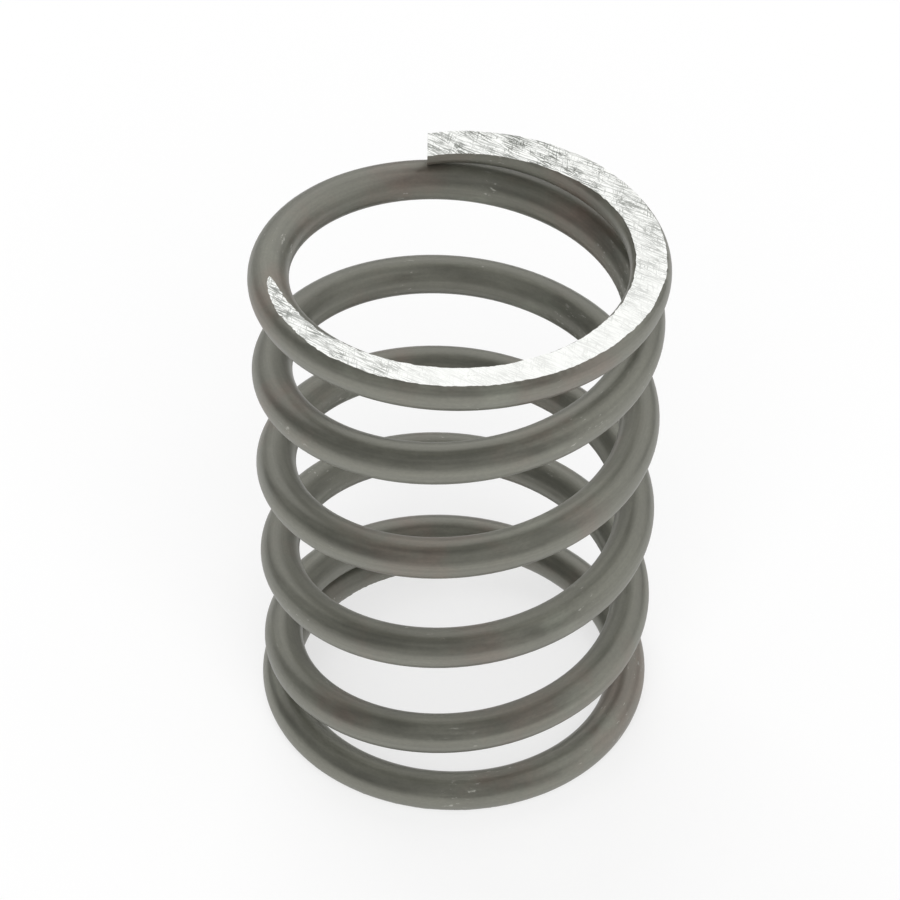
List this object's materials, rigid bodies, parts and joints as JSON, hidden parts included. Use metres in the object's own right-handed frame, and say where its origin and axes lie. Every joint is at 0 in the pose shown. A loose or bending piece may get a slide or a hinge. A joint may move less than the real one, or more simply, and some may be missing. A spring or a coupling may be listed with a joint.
{
  "type": "compression spring",
  "caption": "Small helical compression spring of round steel wire, wound right-handed, with closed ends ground flat.",
  "frame": {"origin": "on the spring's axis, in the plane of the bottom ground face", "axes": "+Z along the spring's axis, towards the top ground face; both tips of the wire are at about 99.5 degrees from +X about +Z"},
  "size_m": [0.0206, 0.0205, 0.0282],
  "materials": {
    "wire": "satin"
  },
  "bodies": {
    "root": {"spring_wire": "wire"}
  },
  "joints": []
}
